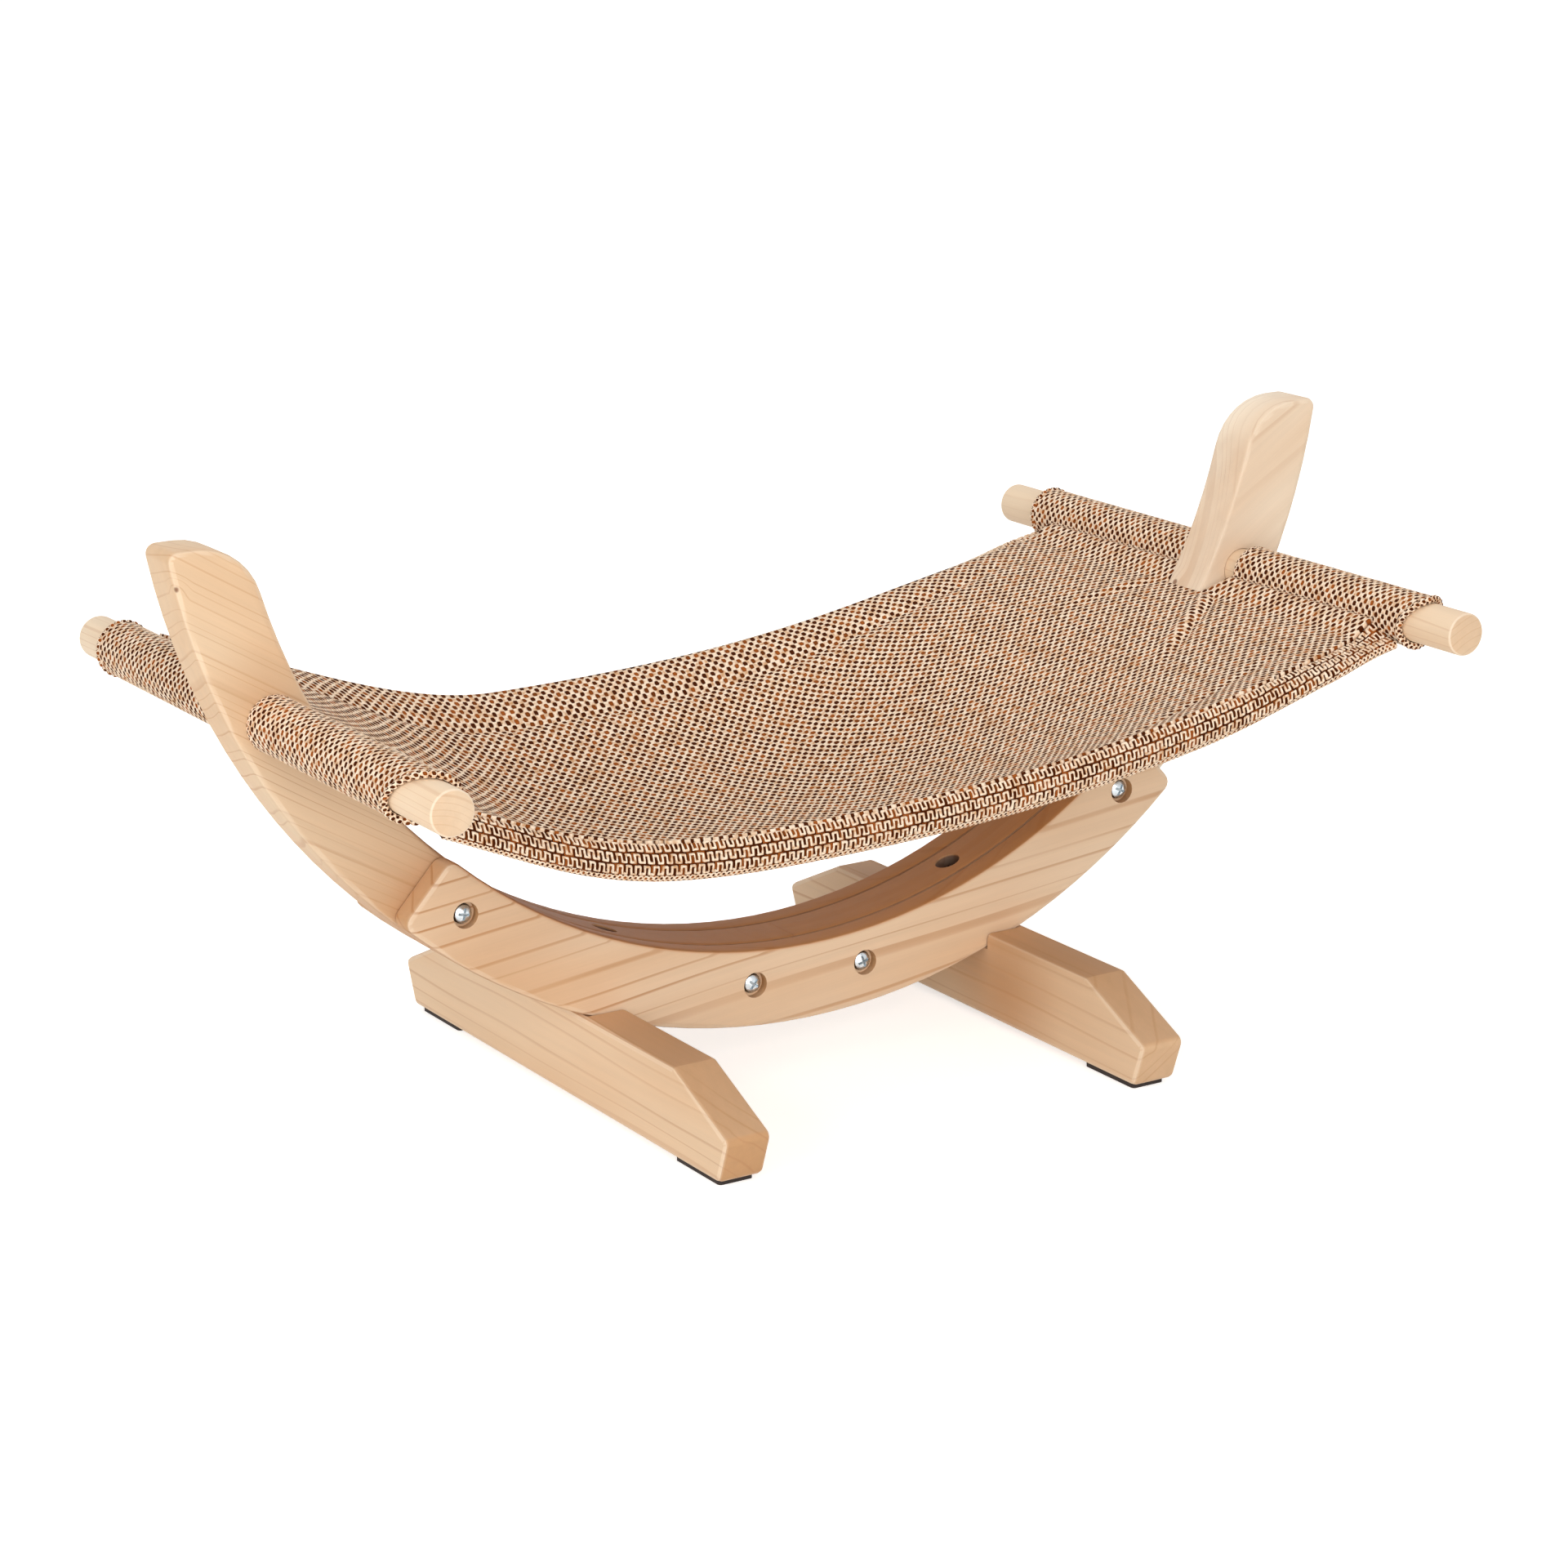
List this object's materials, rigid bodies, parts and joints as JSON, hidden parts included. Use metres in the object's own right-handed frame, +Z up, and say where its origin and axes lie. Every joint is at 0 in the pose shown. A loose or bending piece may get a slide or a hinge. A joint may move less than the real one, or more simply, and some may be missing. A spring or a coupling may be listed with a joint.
{
  "type": "cat hammock",
  "caption": "Free-standing pet hammock: woven sling on dowels carried by a curved laminated wood spine with beam feet.",
  "frame": {"origin": "centre of the object's box on the floor, under the pads", "axes": "+X along the hammock towards the higher end of the trough, +Y along the dowels away from the screw heads, +Z up"},
  "size_m": [0.6692, 0.4, 0.3087],
  "materials": {
    "spine_wood": "satin clear lacquer",
    "foot_wood": "satin clear lacquer",
    "dowel_wood": "sanded",
    "sling_cloth": "coarse basket weave",
    "pad_rubber": "matt",
    "zinc_steel": "bright zinc plate",
    "brass": "plain"
  },
  "bodies": {
    "frame": {"left_arm": "spine_wood", "right_arm": "spine_wood", "front_cheek": "spine_wood", "back_cheek": "spine_wood", "left_foot": "foot_wood", "right_foot": "foot_wood", "sling": "sling_cloth", "front_left_pad": "pad_rubber", "front_right_pad": "pad_rubber", "back_left_pad": "pad_rubber", "back_right_pad": "pad_rubber", "cheek_screw_1": "zinc_steel", "cheek_insert_1": "brass", "cheek_screw_2": "zinc_steel", "cheek_insert_2": "brass", "cheek_screw_3": "zinc_steel", "cheek_insert_3": "brass", "cheek_screw_4": "zinc_steel", "cheek_insert_4": "brass", "left_foot_bolt": "zinc_steel", "left_foot_insert": "brass", "right_foot_bolt": "zinc_steel", "right_foot_insert": "brass"},
    "left_dowel": {"left_dowel": "dowel_wood"},
    "right_dowel": {"right_dowel": "dowel_wood"}
  },
  "joints": [
    {"name": "left_dowel_slide", "type": "slide", "parent": "frame", "child": "left_dowel", "axis": [0, 1, 0], "range_m": [-0.4, 0.4]},
    {"name": "right_dowel_slide", "type": "slide", "parent": "frame", "child": "right_dowel", "axis": [0, 1, 0], "range_m": [-0.4, 0.4]}
  ]
}
